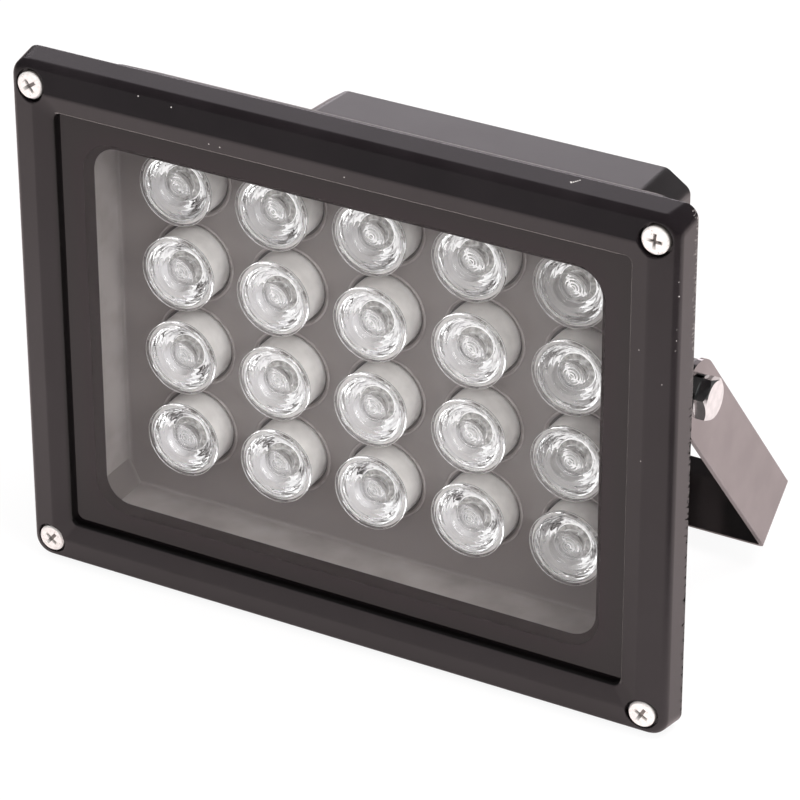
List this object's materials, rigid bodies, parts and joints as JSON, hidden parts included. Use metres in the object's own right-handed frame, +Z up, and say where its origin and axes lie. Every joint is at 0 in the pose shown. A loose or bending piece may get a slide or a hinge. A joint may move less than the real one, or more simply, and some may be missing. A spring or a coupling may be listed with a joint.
{
  "type": "infrared illuminator",
  "caption": "Lamp head with a framed glass front, a grid of clear infrared lenses and a rear driver box, tilting on side bolts in a U-shaped strap bracket.",
  "frame": {"origin": "middle hole of the U-bracket, on the face that lies against the wall", "axes": "+X along the lamp's width and the hinge line, -Y the way the lamp faces, +Z up with the lamp upright"},
  "size_m": [0.1808, 0.0997, 0.1408],
  "materials": {
    "black_coat": "satin black powder coat",
    "screw_steel": "bright zinc",
    "clear_glass": "clear",
    "black_print": "black enamel print seen through glass",
    "gasket_rubber": "matt",
    "grey_sheet": "semi-gloss grey",
    "board_metal": "satin",
    "emitter_resin": "clear resin",
    "clear_acrylic": "clear, polished",
    "white_plastic": "smooth white",
    "circuit_board": "solder mask",
    "transformer_tape": "yellow tape",
    "capacitor_sleeve": "plain dark sleeve",
    "lead_insulation": "plain",
    "gland_plastic": "black nylon",
    "bracket_coat": "smooth glossy dark coat",
    "bright_plating": "nickel"
  },
  "bodies": {
    "bracket": {"u_bracket": "bracket_coat"},
    "lamp_head": {"front_frame": "black_coat", "corner_screws": "screw_steel", "front_glass": "clear_glass", "printed_border": "black_print", "glass_gasket": "gasket_rubber", "rear_housing": "black_coat", "reflector_tray": "grey_sheet", "led_board": "board_metal", "led_emitters": "emitter_resin", "lens_r1c1": "clear_acrylic", "lens_holder_r1c1": "white_plastic", "lens_r1c2": "clear_acrylic", "lens_holder_r1c2": "white_plastic", "lens_r1c3": "clear_acrylic", "lens_holder_r1c3": "white_plastic", "lens_r1c4": "clear_acrylic", "lens_holder_r1c4": "white_plastic", "lens_r1c5": "clear_acrylic", "lens_holder_r1c5": "white_plastic", "lens_r2c1": "clear_acrylic", "lens_holder_r2c1": "white_plastic", "lens_r2c2": "clear_acrylic", "lens_holder_r2c2": "white_plastic", "lens_r2c3": "clear_acrylic", "lens_holder_r2c3": "white_plastic", "lens_r2c4": "clear_acrylic", "lens_holder_r2c4": "white_plastic", "lens_r2c5": "clear_acrylic", "lens_holder_r2c5": "white_plastic", "lens_r3c1": "clear_acrylic", "lens_holder_r3c1": "white_plastic", "lens_r3c2": "clear_acrylic", "lens_holder_r3c2": "white_plastic", "lens_r3c3": "clear_acrylic", "lens_holder_r3c3": "white_plastic", "lens_r3c4": "clear_acrylic", "lens_holder_r3c4": "white_plastic", "lens_r3c5": "clear_acrylic", "lens_holder_r3c5": "white_plastic", "lens_r4c1": "clear_acrylic", "lens_holder_r4c1": "white_plastic", "lens_r4c2": "clear_acrylic", "lens_holder_r4c2": "white_plastic", "lens_r4c3": "clear_acrylic", "lens_holder_r4c3": "white_plastic", "lens_r4c4": "clear_acrylic", "lens_holder_r4c4": "white_plastic", "lens_r4c5": "clear_acrylic", "lens_holder_r4c5": "white_plastic", "driver_board": "circuit_board", "driver_transformer": "transformer_tape", "driver_capacitor": "capacitor_sleeve", "driver_screws": "screw_steel", "led_leads": "lead_insulation", "gland_body": "gland_plastic", "gland_seal": "gasket_rubber", "gland_nut": "gland_plastic", "pivot_bolts": "bright_plating", "spring_washers": "bright_plating"}
  },
  "joints": [
    {"name": "head_tilt", "type": "hinge", "parent": "bracket", "child": "lamp_head", "pos_m": [0, -0.05067, 0.06061], "axis": [1, 0, 0], "range_deg": [-138, 38]}
  ]
}
